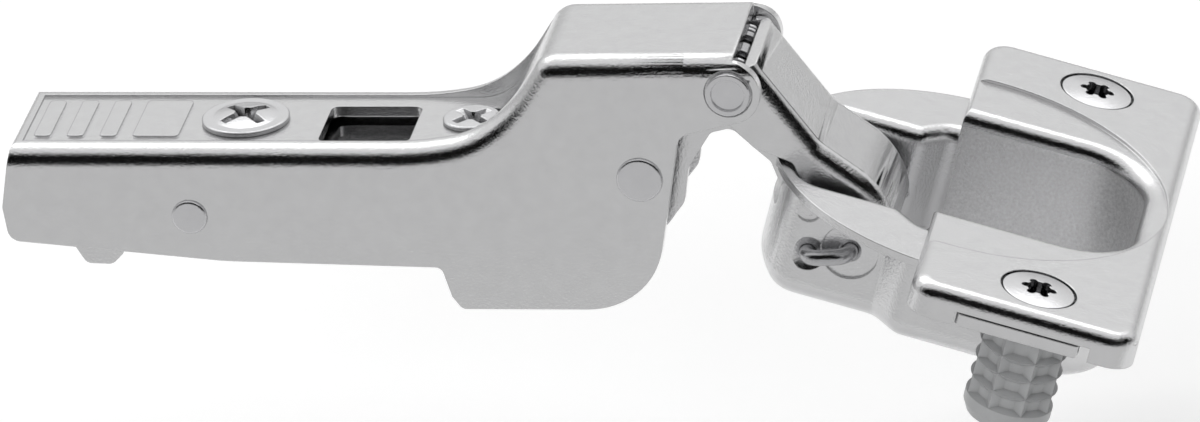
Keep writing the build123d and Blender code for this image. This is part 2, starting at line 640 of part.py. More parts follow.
def well_plan(grow):
    """The well's outline seen from above, grown by a sheet or a bend."""
    end_r = BORE_R - CUP_SHEET
    step = (WELL_HALF_WIDTH - PIN_END_HALF_WIDTH) / 2
    corners = [
        (-40, -PIN_END_HALF_WIDTH),
        (PIN_END_U - step, -PIN_END_HALF_WIDTH),
        (PIN_END_U + step, -WELL_HALF_WIDTH),
        (WELL_END_U, -WELL_HALF_WIDTH),
        (WELL_END_U, WELL_HALF_WIDTH),
        (PIN_END_U + step, WELL_HALF_WIDTH),
        (PIN_END_U - step, PIN_END_HALF_WIDTH),
        (-40, PIN_END_HALF_WIDTH),
    ]
    radii = [0.1, WELL_STEP_R, WELL_STEP_R, WELL_CORNER_R, WELL_CORNER_R, WELL_STEP_R, WELL_STEP_R, 0.1]
    with BuildSketch() as plan:
        with BuildLine():
            FilletPolyline(*corners, radius=radii, close=True)
        make_face()
        with BuildSketch(mode=Mode.INTERSECT):
            with Locations((CUP_CENTRE_U, 0)):
                Circle(end_r)
            with Locations((20, 0)):
                Rectangle(60, 60)
        fillet([v for v in plan.vertices() if v.X < CUP_CENTRE_U - end_r / 2 - 3], 2.4)
        if grow:
            offset(amount=grow)
    return plan.sketch


def barrel(grow, floor, top, bend):
    """The well's plan from a floor to a top level, with its floor edges rounded."""
    with BuildPart() as body:
        add(well_plan(grow).moved(Location((0, 0, floor))))
        extrude(amount=top - floor)
        fillet(body.faces().sort_by(Axis.Z)[0].edges(), bend)
    return body.part


def mouth_plate(plate, top, under):
    """A plate with the barrel below it, the well cut out and both bends rounded."""
    with BuildPart() as body:
        add(plate)
        add(barrel(CUP_SHEET, -CUP_DEPTH, under + 0.1, FLOOR_BEND))
        below = [f for f in body.faces().filter_by(Plane.XY) if abs(f.center().Z - under) < 0.001]
        fillet(below[0].inner_wires()[0].edges(), MOUTH_ROUND - CUP_SHEET)
        add(barrel(0, CUP_SHEET - CUP_DEPTH, 5, FLOOR_BEND - CUP_SHEET), mode=Mode.SUBTRACT)
        above = [f for f in body.faces().filter_by(Plane.XY) if abs(f.center().Z - top) < 0.001]
        above = [f for f in above if f.inner_wires() and f.inner_wires()[0].bounding_box().size.Y < 25]
        fillet(above[0].inner_wires()[0].edges(), MOUTH_ROUND)
    return body.part


# Cup: brim and barrel, and the raised flange over it
brim_top = CUP_SHEET - FLANGE_HEIGHT
flange_middle = (sum(FLANGE_U) / 2, 0)
flange_width = FLANGE_U[1] - FLANGE_U[0]
screw_places = [(0, -SCREW_PITCH / 2), (0, SCREW_PITCH / 2)]
plate_slot = (PLATE_U[0] - PLATE_SLOT_ROOM[0], PLATE_U[1] + PLATE_SLOT_ROOM[1])
with BuildPart() as brim:
    with BuildSketch(Plane.XY.offset(-FLANGE_HEIGHT)):
        with Locations((CUP_CENTRE_U, 0)):
            Circle(BRIM_R)
    extrude(amount=CUP_SHEET)
with BuildPart() as raised:
    with BuildSketch(Plane.XY.offset(-FLANGE_HEIGHT)):
        with Locations((-5, 0)):
            Rectangle(90, 90)
    extrude(amount=FLANGE_HEIGHT)
    with BuildSketch(Plane.XY.offset(-STEP_DEPTH)):
        with Locations((CUP_CENTRE_U, 0)):
            Circle(BRIM_R)
    extrude(amount=5, mode=Mode.SUBTRACT)
with BuildPart() as hat:
    with BuildSketch(Plane.XY.offset(-FLANGE_HEIGHT - 1.1)):
        with Locations(flange_middle):
            RectangleRounded(flange_width, FLANGE_LENGTH, FLANGE_CORNER_R)
    extrude(amount=FLANGE_HEIGHT + 1.1)
    fillet(hat.faces().sort_by(Axis.Z)[-1].edges(), FLANGE_BEND)
    add(mouth_plate(raised.part, -STEP_DEPTH, -FLANGE_HEIGHT), mode=Mode.INTERSECT)
with BuildPart() as pocket:
    with BuildSketch(Plane.XY.offset(-FLANGE_HEIGHT - 0.9)):
        with Locations(flange_middle):
            RectangleRounded(
                flange_width - 2 * CUP_SHEET, FLANGE_LENGTH - 2 * CUP_SHEET, FLANGE_CORNER_R - CUP_SHEET
            )
        add(well_plan(MOUTH_ROUND), mode=Mode.SUBTRACT)
    extrude(amount=FLANGE_HEIGHT + 0.9 - CUP_SHEET - STEP_DEPTH)
    for middle in screw_places:
        with BuildSketch(Plane.XY.offset(-FLANGE_HEIGHT)):
            with Locations(middle):
                RectangleRounded(flange_width - 2 * CUP_SHEET, 9, 1.0)
        extrude(amount=FLANGE_HEIGHT - CUP_SHEET)

with BuildPart() as cup:
    add(mouth_plate(brim.part, brim_top, -FLANGE_HEIGHT))
    add(hat.part)
    add(pocket.part, mode=Mode.SUBTRACT)
    with BuildSketch(Plane.XY.offset(-CUP_SHEET - 0.6)):
        with Locations(screw_places):
            Circle(SCREW_HEAD_R + 0.8)
    extrude(amount=1.0)
    with BuildSketch(Plane.XY.offset(-0.65)):
        with Locations(screw_places):
            Circle(SCREW_HEAD_R + 0.1)
    extrude(amount=2, mode=Mode.SUBTRACT)
    with BuildSketch(Plane.XY.offset(-3)):
        with Locations(screw_places):
            Circle(SCREW_SHANK_R + 0.25)
    extrude(amount=3, mode=Mode.SUBTRACT)
    for side in (-1, 1):
        with BuildSketch(Plane.XZ.offset(-side * FLANGE_LENGTH / 2)):
            with Locations((sum(plate_slot) / 2, -FLANGE_HEIGHT)):
                Rectangle(plate_slot[1] - plate_slot[0], 2 * (PLATE_THICKNESS + PLATE_GAP + 0.05))
        extrude(amount=CUP_SHEET + 0.2, both=True, mode=Mode.SUBTRACT)
        with BuildSketch(Plane.XZ.offset(-side * (PIN_END_HALF_WIDTH + CUP_SHEET))):
            with Locations(OUTER_PIVOT):
                Circle(2.7)
            with Locations(WALL_MARK):
                Circle(WALL_MARK_R[1])
                Circle(WALL_MARK_R[0], mode=Mode.SUBTRACT)
        extrude(amount=WALL_MARK_DEPTH, both=True, mode=Mode.SUBTRACT)
        for place in (INNER_PIVOT, OUTER_PIVOT):
            dish_y = side * (PIN_END_HALF_WIDTH + CUP_SHEET - LEG_DISH_DEPTH / 2 + 0.01)
            with Locations(Location((place[0], dish_y, place[1]), (-90 * side, 0, 0))):
                Cone(HAIRPIN_R + PIN_FIT, LEG_DISH_R, LEG_DISH_DEPTH + 0.02, mode=Mode.SUBTRACT)
    with BuildSketch(Plane.YZ.offset(CUP_CENTRE_U - BRIM_R - 1)):
        with Locations((0, NOTCH_FLOOR_N + 6)):
            RectangleRounded(2 * (INNER_LINK_HALF_WIDTH + NOTCH_GAP), 12, 1.2)
    extrude(amount=6, mode=Mode.SUBTRACT)
    with BuildSketch(Plane.XZ):
        with Locations(INNER_PIVOT, OUTER_PIVOT):
            Circle(HAIRPIN_R + PIN_FIT)
    extrude(amount=PIN_END_HALF_WIDTH + 4, both=True, mode=Mode.SUBTRACT)
save(cup.part.moved(flange.location), "cup")


def dowel_plate(side):
    """The plate in the flange that carries a dowel."""
    with BuildPart() as plate:
        middle_y = side * (PLATE_INNER_Y + FLANGE_LENGTH / 2) / 2
        with BuildSketch(Plane.XY.offset(-FLANGE_HEIGHT + SCREW_FIT)):
            with Locations(((PLATE_U[0] + PLATE_U[1]) / 2, middle_y)):
                RectangleRounded(PLATE_U[1] - PLATE_U[0], FLANGE_LENGTH / 2 - PLATE_INNER_Y, 0.6)
            with Locations((0, side * SCREW_PITCH / 2)):
                Circle(DOWEL_CORE_R - 0.6, mode=Mode.SUBTRACT)
        extrude(amount=PLATE_THICKNESS)
    return plate.part


def dowel(side):
    """A plastic dowel: sharp crests and ribs on a core, a plain end, bored for its screw."""
    collar_r = DOWEL_CORE_R - 0.6 - SCREW_FIT
    band_foot = DOWEL_TAPER - DOWEL_DEPTH
    last_crest = band_foot + DOWEL_BAND
    profile = [(0, -FLANGE_HEIGHT), (DOWEL_CORE_R, -FLANGE_HEIGHT)]
    for crest in reversed(range(DOWEL_CRESTS)):
        crest_n = last_crest + crest * DOWEL_CREST_PITCH
        profile.append((DOWEL_CORE_R, crest_n + 0.35))
        profile.append((DOWEL_R, crest_n))
        if crest:
            profile.append((DOWEL_CORE_R, crest_n - 0.6))
    profile.append((DOWEL_R, band_foot))
    profile.append((DOWEL_R - 0.45, 0.15 - DOWEL_DEPTH))
    profile.append((DOWEL_R - 0.75, -DOWEL_DEPTH))
    profile.append((0, -DOWEL_DEPTH))
    rib_root = DOWEL_CORE_R - 0.4
    rib = [(rib_root, -DOWEL_RIB_HALF_WIDTH), (DOWEL_R - 0.03, 0), (rib_root, DOWEL_RIB_HALF_WIDTH)]
    with BuildPart() as body:
        with BuildSketch(Plane.XZ):
            with BuildLine():
                Polyline(*profile, close=True)
            make_face()
        revolve(axis=Axis.Z)
        with BuildSketch(Plane.XY.offset(last_crest)):
            with PolarLocations(0, DOWEL_RIBS, start_angle=180 / DOWEL_RIBS):
                Polygon(*rib, align=None)
        extrude(amount=-FLANGE_HEIGHT - last_crest)
        with BuildSketch(Plane.XY.offset(-FLANGE_HEIGHT)):
            Circle(collar_r)
        extrude(amount=SCREW_FIT + PLATE_THICKNESS)
        with BuildSketch(Plane.XY.offset(-SCREW_LENGTH - 0.9)):
            Circle(SCREW_SHANK_R + SCREW_FIT)
        extrude(amount=SCREW_LENGTH + 0.9, mode=Mode.SUBTRACT)
    return body.part.moved(Location((0, side * SCREW_PITCH / 2, 0)))


def dowel_screw(side):
    """The screw through flange, plate and dowel, with a star recess."""
    with BuildPart() as screw:
        with BuildSketch(Plane.XZ):
            with BuildLine():
                Polyline(
                    (0, -SCREW_LENGTH), (SCREW_SHANK_R - 0.6, -SCREW_LENGTH),
                    (SCREW_SHANK_R, -SCREW_LENGTH + 1.2),
                    (SCREW_SHANK_R, -0.63), (SCREW_HEAD_R - 0.1, -0.63), (SCREW_HEAD_R, -0.5),
                    (SCREW_HEAD_R - 0.15, -0.1),
                )
                ThreePointArc(*dome_points(SCREW_HEAD_R - 0.15, -0.1, 0.2))
                Line((0, 0.2), (0, -SCREW_LENGTH))
            make_face()
        revolve(axis=Axis.Z)
        with BuildSketch(Plane.XY.offset(0.2)):
            Circle(1.15)
            with PolarLocations(1.25, 6):
                Circle(0.4)
        extrude(amount=-1.4, mode=Mode.SUBTRACT)
    return screw.part.moved(Location((0, side * SCREW_PITCH / 2, 0)))


for side, side_name in ((-1, "near"), (1, "far")):
    save(dowel_plate(side).moved(flange.location), f"dowel_plate_{side_name}")
    save(dowel(side).moved(flange.location), f"dowel_{side_name}")
    save(dowel_screw(side).moved(flange.location), f"dowel_screw_{side_name}")
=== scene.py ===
"""Looks of the concealed cup hinge: nickel-plated steel, spring wire and grey plastic dowels."""
from math import cos, radians, sin, tan

import bmesh
import bpy
from mathutils import Matrix, Vector
from mathutils.kdtree import KDTree


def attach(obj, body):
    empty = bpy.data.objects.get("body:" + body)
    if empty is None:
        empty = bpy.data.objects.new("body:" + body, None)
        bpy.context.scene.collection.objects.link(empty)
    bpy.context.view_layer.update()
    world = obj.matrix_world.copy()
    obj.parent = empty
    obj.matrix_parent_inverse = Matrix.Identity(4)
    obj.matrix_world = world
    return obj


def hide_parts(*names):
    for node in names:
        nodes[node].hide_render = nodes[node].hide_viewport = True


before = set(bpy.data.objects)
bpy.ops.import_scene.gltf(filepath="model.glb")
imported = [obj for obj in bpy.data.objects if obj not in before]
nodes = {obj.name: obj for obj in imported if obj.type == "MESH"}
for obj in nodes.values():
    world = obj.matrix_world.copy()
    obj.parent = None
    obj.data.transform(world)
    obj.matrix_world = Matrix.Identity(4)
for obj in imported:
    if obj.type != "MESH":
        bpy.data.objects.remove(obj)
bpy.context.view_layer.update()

# Camera, found by fitting the hinge's own corners to the photograph
CAMERA_AIM = Vector((0.037879, -0.001482, -0.005658))
CAMERA_DISTANCE = 1.04922
CAMERA_AZIMUTH = -10.838
CAMERA_ELEVATION = 23.893
CAMERA_ROLL = 4.283
CAMERA_LENS = 336.26
SENSOR_WIDTH = 36
NEAREST_SEEN = 0.01
FURTHEST_SEEN = 50

# Stage: places in metres, shades and strengths of light
FLOOR_Z = -0.034
FLOOR_SIZE = 12
FLOOR_SHADE = (0.80, 0.80, 0.80, 1)
FLOOR_LIFT = 0.33
WHITE = (1, 1, 1, 1)
BLACK = (0, 0, 0, 1)
WORLD_LIGHT = 0.55
HORIZON_WHITE = 0.50
HORIZON_HEIGHT = (0.06, 0.36)
LAMP_AIM = (0.03, 0, 0)
FRONT_CARD = [(-3, -2.5, 0.02), (3, -2.5, 0.02), (3, -0.5, 1.0), (-3, -0.5, 1.0)]
RIGHT_CARD = [(1.0, -1.2, 0.06), (1.0, 0.35, 0.06), (0.85, 0.35, 0.75), (0.85, -1.2, 0.75)]
LOW_CARD = [(-2, -2.5, -0.033), (2, -2.5, -0.033), (2, -0.035, -0.033), (-2, -0.035, -0.033)]
LOW_CARD_SHADE = 0.77
CARD_BETWEEN_METAL = 0.9
FIRST_MIRRORS = (1, 2)

# Surfaces: noise scales in waves per metre, depths and radii in metres
NOISE_MIDDLE = (0.3, 0.7)
# Ambient occlusion values from shut in to open, for the painted shade in crevices
SHUT_TO_OPEN = (0.3, 0.8)
RAY_SAMPLES = 6
NICKEL = (0.60, 0.60, 0.605)
EDGE_R = 0.00016
# Painted shade in the plating's crevices: the darkest share of its shade
CREVICE_SHADE = 0.15
GRAIN_DEPTH = 0.00004
PLATING_CLOUDS = 700
PLATING_TINT = 0.02
PLATING_PATCHES = 1500
PLATING_ROUGH_SPAN = (0.85, 1.2)
MOULDED_CLOUDS = 400
MOULDED_TINT = 0.05
MOULDED_PATCHES = 1200
MOULDED_ROUGH_SPAN = (0.85, 1.15)
MOULDED_GRAIN = 5000
MOULDED_GRAIN_STRENGTH = 0.25
MOULDED_GRAIN_DEPTH = 0.00003
MOULDED_EDGE_R = 0.00012
# Painted shade in the dowels' crevices: how far it reaches, and its darkest share
MOULDED_SHADE_REACH = 0.0011
MOULDED_CREVICE_SHADE = 0.3

# Inner surfaces of the cup's well, as a rounded box in the flange's own frame, where the plating is matt
# and grainy and painted paler as painted light
FLANGE_TILT = 17
WELL_MIDDLE = (0.075931, 0, -0.010380)
WELL_HALF = (0.0111, 0.0107, 0.0061)
WELL_CORNER = 0.0066
WELL_SPARE = 0.0004
WELL_FADE = 0.0002
WELL_GRAIN = 3200
# Painted light: the well's grain runs between shades well above NICKEL, for light that bounces round the
# well
WELL_PAINTED_LIGHT_LOW = (0.66, 0.66, 0.665)
WELL_PAINTED_LIGHT_HIGH = (0.92, 0.92, 0.925)
WELL_ROUGH = (0.38, 0.55)

# Arm and outer link as the solids have them, in metres: the stretch of the plateau's edge over the finger,
# the corners of the outer link's upper line seen from the side, and the pins with their heads
ARM_HALF_WIDTH = 0.0076
ARM_BEND_R = 0.002
ARM_BEND_RUN = [(0.0478, 0.012350), (0.0556, 0.012436)]
PLATEAU_SLOPE = 0.011
LINK_HALF_WIDTH = 0.0062
LINK_BEND_R = 0.0015
LINK_CORNERS = [
    (0.0528, 0.013406),
    (0.05468, 0.0101875),
    (0.0597048, 0.002963),
    (0.0663139, -0.0022006),
    (0.0663139, -0.0075),
]
LINK_RADII = [0.002, 0.003, 0.008]
OUTER_PIN = (0.05185, 0.00895)
HEAD_HEIGHT = 0.00035
PINS = [
    ("rear_pin", "slider", (0.0, -0.0036), 0.0017),
    ("inner_link_pin", "arm", (0.043, 0.0003), 0.00218),
]

# What is cut away from them here, and how far each cutting shape reaches past the metal
LINK_TOP_CUT = ((0.0520, -0.0070, 0.01095), (0.05425, 0.0070, 0.0135))
GROOVE_R = (0.00205, 0.00225)
GROOVE_DEPTH = 0.0003
GROOVE_FLARE = 0.00012
HEAD_ROUND = 0.00028
BEND_TOOL_SPARE = 0.0006
GROOVE_TOOL_SPARE = 0.001
HEAD_TOOL_SPARE = 0.0004

# Closing spring round the upper arm pin: flat bands and turns of wire, by their places across the arm
BAND_R = (0.00145, 0.00198)
BANDS = [(-0.00175, 0.00015), (0.00195, 0.00285)]
BAND_ARC = (-120, 150)
WIRE_TURNS = [-0.0043, -0.0035, 0.0036, 0.00435]
WIRE_R = 0.00034
WIRE_COIL_R = 0.00164

# Fineness of what is made here, in steps
BAND_STEPS = 48
WIRE_STEPS = 48
WIRE_SIDES = 12
BEND_STEPS = 10
PATH_STEPS = 8
RIM_STEPS = 6
LATHE_STEPS = 64

# Edges sharper than these angles stay sharp, in degrees
CUT_SHARP = 28
SPRING_SHARP = 40

# When a cut shape's corner counts as one of the solid's own, and its face as flat: metres, then cosines
SAME_PLACE = 0.000003
SAME_WAY = 0.998
FLAT = 0.99999


def add_camera():
    """The camera looks along the photograph's direction with the photograph's roll."""
    azimuth, elevation, roll = (radians(a) for a in (CAMERA_AZIMUTH, CAMERA_ELEVATION, CAMERA_ROLL))
    ahead = Vector((sin(azimuth) * cos(elevation), cos(azimuth) * cos(elevation), -sin(elevation)))
    level = Vector((cos(azimuth), -sin(azimuth), 0))
    upright = level.cross(ahead)
    right = cos(roll) * level - sin(roll) * upright
    up = cos(roll) * upright + sin(roll) * level
    turned_to = Matrix((right, up, -ahead)).transposed()
    data = bpy.data.cameras.new("camera")
    data.lens = CAMERA_LENS
    data.sensor_width = SENSOR_WIDTH
    data.clip_start = NEAREST_SEEN
    data.clip_end = FURTHEST_SEEN
    camera = bpy.data.objects.new("camera", data)
    bpy.context.scene.collection.objects.link(camera)
    camera.matrix_world = Matrix.Translation(CAMERA_AIM - CAMERA_DISTANCE * ahead) @ turned_to.to_4x4()
    bpy.context.scene.camera = camera


def new_material(name):
    """A material with only a surface shader, its node tree and that shader."""
    material = bpy.data.materials.new(name)
    material.use_nodes = True
    tree = material.node_tree
    tree.nodes.clear()
    shader = tree.nodes.new("ShaderNodeBsdfPrincipled")
    output = tree.nodes.new("ShaderNodeOutputMaterial")
    tree.links.new(shader.outputs["BSDF"], output.inputs["Surface"])
    return material, tree, shader


def put(tree, value, socket):
    """Give a socket a number or a colour, or link another socket to it."""
    if isinstance(value, bpy.types.NodeSocket):
        tree.links.new(value, socket)
    else:
        socket.default_value = value


def computed(tree, operation, *values):
    """The result of one sum on numbers or sockets."""
    node = tree.nodes.new("ShaderNodeMath")
    node.operation = operation
    for value, socket in zip(values, node.inputs):
        put(tree, value, socket)
    return node.outputs["Value"]


def ranged(tree, value, source, target=(0, 1), curve="LINEAR"):
    """A value carried from one range to another, and held at its ends."""
    node = tree.nodes.new("ShaderNodeMapRange")
    node.interpolation_type = curve
    for name, number in zip(("From Min", "From Max", "To Min", "To Max"), (*source, *target)):
        node.inputs[name].default_value = number
    tree.links.new(value, node.inputs["Value"])
    return node.outputs["Result"]


def blended(tree, data_type, share, first, second):
    """A colour or a value between two others, by a share."""
    node = tree.nodes.new("ShaderNodeMix")
    node.data_type = data_type
    put(tree, share, node.inputs["Factor"])
    put(tree, first, node.inputs["A"])
    put(tree, second, node.inputs["B"])
    return node.outputs["Result"]


def noise(tree, scale, detail, roughness=0.5):
    """A noise value over the piece's own place in the frame, in metres."""
    place = tree.nodes.new("ShaderNodeTexCoord")
    texture = tree.nodes.new("ShaderNodeTexNoise")
    texture.inputs["Scale"].default_value = scale
    texture.inputs["Detail"].default_value = detail
    texture.inputs["Roughness"].default_value = roughness
    tree.links.new(place.outputs["Object"], texture.inputs["Vector"])
    return texture.outputs["Fac"]


def tinted(tree, value, dark, light):
    """A colour between two, by a noise value."""
    ramp = tree.nodes.new("ShaderNodeValToRGB")
    for element, position, colour in zip(ramp.color_ramp.elements, NOISE_MIDDLE, (dark, light)):
        element.position = position
        element.color = (*colour, 1)
    tree.links.new(value, ramp.inputs["Fac"])
    return ramp.outputs["Color"]


def clouded(tree, value, shade, share):
    """A shade that drifts a little either way, by a noise value."""
    dark = [c * (1 - share) for c in shade]
    light = [c * (1 + share) for c in shade]
    return tinted(tree, value, dark, light)


def uneven(tree, value, rough, span):
    """A roughness that drifts between two shares of its middle value."""
    return ranged(tree, value, NOISE_MIDDLE, [rough * share for share in span])


def painted_crevice_shade(tree, colour, dark, reach):
    """Painted shade: a colour that falls towards a darker one where the surface is shut in, as ambient
    occlusion finds it.
    """
    shut = tree.nodes.new("ShaderNodeAmbientOcclusion")
    shut.samples = RAY_SAMPLES
    shut.inputs["Distance"].default_value = reach
    openness = ranged(tree, shut.outputs["AO"], SHUT_TO_OPEN)
    return blended(tree, "RGBA", openness, (*dark, 1), colour)


def bumped(tree, shader, height, strength, distance, edge_r):
    """Tie a height to the shader's normal, with the cut edges softened by a small radius."""
    bump = tree.nodes.new("ShaderNodeBump")
    if edge_r:
        edge = tree.nodes.new("ShaderNodeBevel")
        edge.samples = RAY_SAMPLES
        edge.inputs["Radius"].default_value = edge_r
        tree.links.new(edge.outputs["Normal"], bump.inputs["Normal"])
    bump.inputs["Strength"].default_value = strength
    bump.inputs["Distance"].default_value = distance
    tree.links.new(height, bump.inputs["Height"])
    tree.links.new(bump.outputs["Normal"], shader.inputs["Normal"])


def inside_well(tree):
    """One on the inner surfaces of the cup's well, nought elsewhere, by place in the frame; there the
    plating is matt and painted paler as painted light.
    """
    place = tree.nodes.new("ShaderNodeTexCoord")
    local = tree.nodes.new("ShaderNodeMapping")
    local.vector_type = "TEXTURE"
    local.inputs["Location"].default_value = WELL_MIDDLE
    local.inputs["Rotation"].default_value = (0, radians(FLANGE_TILT), 0)
    tree.links.new(place.outputs["Object"], local.inputs["Vector"])
    source = local.outputs["Vector"]
    for operation, amount in (
        ("MULTIPLY", (1, 1, 0)),
        ("ABSOLUTE", (0, 0, 0)),
        ("SUBTRACT", (WELL_HALF[0] - WELL_CORNER, WELL_HALF[1] - WELL_CORNER, 0)),
        ("MAXIMUM", (0, 0, 0)),
    ):
        step = tree.nodes.new("ShaderNodeVectorMath")
        step.operation = operation
        step.inputs[1].default_value = amount
        tree.links.new(source, step.inputs[0])
        source = step.outputs["Vector"]
    apart = tree.nodes.new("ShaderNodeVectorMath")
    apart.operation = "LENGTH"
    tree.links.new(source, apart.inputs[0])
    parts = tree.nodes.new("ShaderNodeSeparateXYZ")
    tree.links.new(local.outputs["Vector"], parts.inputs[0])
    deep = computed(tree, "ABSOLUTE", parts.outputs["Z"])
    limits = ((apart.outputs["Value"], WELL_CORNER + WELL_SPARE), (deep, WELL_HALF[2]))
    shares = [ranged(tree, value, (limit + WELL_FADE, limit - WELL_FADE)) for value, limit in limits]
    return computed(tree, "MULTIPLY", *shares)


def plated(name, shade, rough, grain_scale, grain_strength, drawn_well_painted_light=False, edge_r=EDGE_R, crevice_shade_reach=0):
    """Nickel plating on steel: satin, with a fine orange peel and slight clouding.

    A drawn cup is matt inside its well, where the punch has left the sheet grainy, and painted paler there
    than the plating outside as painted light, for light that bounces round the well.
    """
    material, tree, shader = new_material(name)
    shader.inputs["Metallic"].default_value = 1.0
    colour = clouded(tree, noise(tree, PLATING_CLOUDS, detail=4.0), shade, PLATING_TINT)
    # Painted shade: darker where the surface is shut in
    if crevice_shade_reach:
        colour = painted_crevice_shade(tree, colour, [c * CREVICE_SHADE for c in shade], crevice_shade_reach)
    roughness = uneven(tree, noise(tree, PLATING_PATCHES, detail=3.0), rough, PLATING_ROUGH_SPAN)
    # Painted light inside the well, with a matt grain
    if drawn_well_painted_light:
        inside = inside_well(tree)
        grain = noise(tree, WELL_GRAIN, detail=3.0, roughness=0.7)
        colour = blended(tree, "RGBA", inside, colour, tinted(tree, grain, WELL_PAINTED_LIGHT_LOW, WELL_PAINTED_LIGHT_HIGH))
        matt = ranged(tree, grain, NOISE_MIDDLE, WELL_ROUGH)
        roughness = blended(tree, "FLOAT", inside, roughness, matt)
    tree.links.new(colour, shader.inputs["Base Color"])
    tree.links.new(roughness, shader.inputs["Roughness"])
    height = noise(tree, grain_scale, detail=4.0, roughness=0.6)
    bumped(tree, shader, height, grain_strength, GRAIN_DEPTH, edge_r)
    return material


def moulded(name, shade, rough):
    """Moulded plastic with a faint texture, and painted shade that darkens its crevices."""
    material, tree, shader = new_material(name)
    colour = clouded(tree, noise(tree, MOULDED_CLOUDS, detail=3.0), shade, MOULDED_TINT)
    dark = [c * MOULDED_CREVICE_SHADE for c in shade]
    colour = painted_crevice_shade(tree, colour, dark, MOULDED_SHADE_REACH)
    roughness = uneven(tree, noise(tree, MOULDED_PATCHES, detail=3.0), rough, MOULDED_ROUGH_SPAN)
    tree.links.new(colour, shader.inputs["Base Color"])
    tree.links.new(roughness, shader.inputs["Roughness"])
    height = noise(tree, MOULDED_GRAIN, detail=3.0)
    bumped(tree, shader, height, MOULDED_GRAIN_STRENGTH, MOULDED_GRAIN_DEPTH, MOULDED_EDGE_R)
    return material


def background_rays(tree):
    """One for a ray that shows the background: straight, by reflection or through glass."""
    path = tree.nodes.new("ShaderNodeLightPath")
    total = path.outputs["Is Camera Ray"]
    for name in ("Is Glossy Ray", "Is Transmission Ray"):
        total = computed(tree, "MAXIMUM", total, path.outputs[name])
    return total


def soft_box(name, place, size, power, in_reflections=True):
    """A large soft lamp, aimed at the hinge."""
    data = bpy.data.lights.new(name, "AREA")
    data.shape = "RECTANGLE"
    data.size, data.size_y = size
    data.energy = power
    light = bpy.data.objects.new(name, data)
    bpy.context.scene.collection.objects.link(light)
    light.location = place
    light.rotation_euler = (Vector(LAMP_AIM) - Vector(place)).to_track_quat("-Z", "Y").to_euler()
    light.visible_camera = False
    light.visible_glossy = in_reflections


def flat_sheet(name, corners, shade):
    """A flat matt sheet of the stage that can also glow, with its node tree and shader."""
    material, tree, shader = new_material(name)
    shader.inputs["Base Color"].default_value = shade
    shader.inputs["Roughness"].default_value = 1.0
    shader.inputs["Specular IOR Level"].default_value = 0.0
    shader.inputs["Emission Color"].default_value = WHITE
    mesh = bpy.data.meshes.new(name)
    mesh.from_pydata(corners, [], [tuple(range(len(corners)))])
    mesh.materials.append(material)
    sheet = bpy.data.objects.new(name, mesh)
    bpy.context.scene.collection.objects.link(sheet)
    return sheet, tree, shader


def card(name, corners, shade):
    """A card set beside bright metal for its reflections, as in a product studio.

    Light that goes on from metal to metal, as in the cup's well, finds it pale.
    """
    sheet, tree, shader = flat_sheet(name, corners, BLACK)
    path = tree.nodes.new("ShaderNodeLightPath")
    glow = ranged(tree, path.outputs["Glossy Depth"], FIRST_MIRRORS, (shade, CARD_BETWEEN_METAL))
    tree.links.new(glow, shader.inputs["Emission Strength"])
    sheet.visible_camera = False
    sheet.visible_diffuse = False
    sheet.visible_shadow = False
    sheet.visible_transmission = False


def add_floor():
    """A pale floor that keeps the hinge's shadow."""
    half = FLOOR_SIZE / 2
    ends = ((-half, -half), (half, -half), (half, half), (-half, half))
    corners = [(x, y, FLOOR_Z) for x, y in ends]
    _, tree, shader = flat_sheet("stage_floor", corners, FLOOR_SHADE)
    lift = computed(tree, "MULTIPLY", background_rays(tree), FLOOR_LIFT)
    tree.links.new(lift, shader.inputs["Emission Strength"])


def add_world():
    """Even light, with a white background that greys a little at the horizon."""
    world = bpy.data.worlds.new("studio")
    world.use_nodes = True
    bpy.context.scene.world = world
    tree = world.node_tree
    background = tree.nodes["Background"]
    background.inputs["Color"].default_value = WHITE
    place = tree.nodes.new("ShaderNodeTexCoord")
    parts = tree.nodes.new("ShaderNodeSeparateXYZ")
    tree.links.new(place.outputs["Generated"], parts.inputs[0])
    backdrop = ranged(tree, parts.outputs["Z"], HORIZON_HEIGHT, (HORIZON_WHITE, 1.0), "SMOOTHSTEP")
    strength = blended(tree, "FLOAT", background_rays(tree), WORLD_LIGHT, backdrop)
    tree.links.new(strength, background.inputs["Strength"])


def add_stage():
    """Pale floor, even surroundings, two soft lamps, and cards for the metal to reflect."""
    add_floor()
    add_world()
    soft_box("key", place=(-0.2, 0.95, 1.6), size=(2.4, 1.0), power=13)
    soft_box("front", place=(-0.6, -1.6, 0.9), size=(1.2, 0.8), power=8, in_reflections=False)
    card("front_dark", FRONT_CARD, 0.0)
    card("right_dark", RIGHT_CARD, 0.0)
    card("front_grey", LOW_CARD, LOW_CARD_SHADE)


def finish_node(name, material):
    """Give a whole node of the frame one material."""
    mesh = nodes[name].data
    mesh.materials.clear()
    mesh.materials.append(material)
    mesh.polygons.foreach_set("material_index", [0] * len(mesh.polygons))


def joined(mesh, rings, closed):
    """Faces from each ring of corners to the next; the last meets the first, or both ends get a face."""
    following = rings[1:] + rings[:1] if closed else rings[1:]
    for first, second in zip(rings, following):
        count = len(first)
        for k in range(count):
            after = (k + 1) % count
            mesh.faces.new((first[k], first[after], second[after], second[k]))
    if not closed:
        mesh.faces.new(rings[0][::-1])
        mesh.faces.new(rings[-1])


def new_object(name, mesh):
    """An object of the scene from a mesh under construction, with its faces turned outwards."""
    bmesh.ops.recalc_face_normals(mesh, faces=mesh.faces)
    data = bpy.data.meshes.new(name)
    mesh.to_mesh(data)
    mesh.free()
    piece = bpy.data.objects.new(name, data)
    bpy.context.scene.collection.objects.link(piece)
    return piece


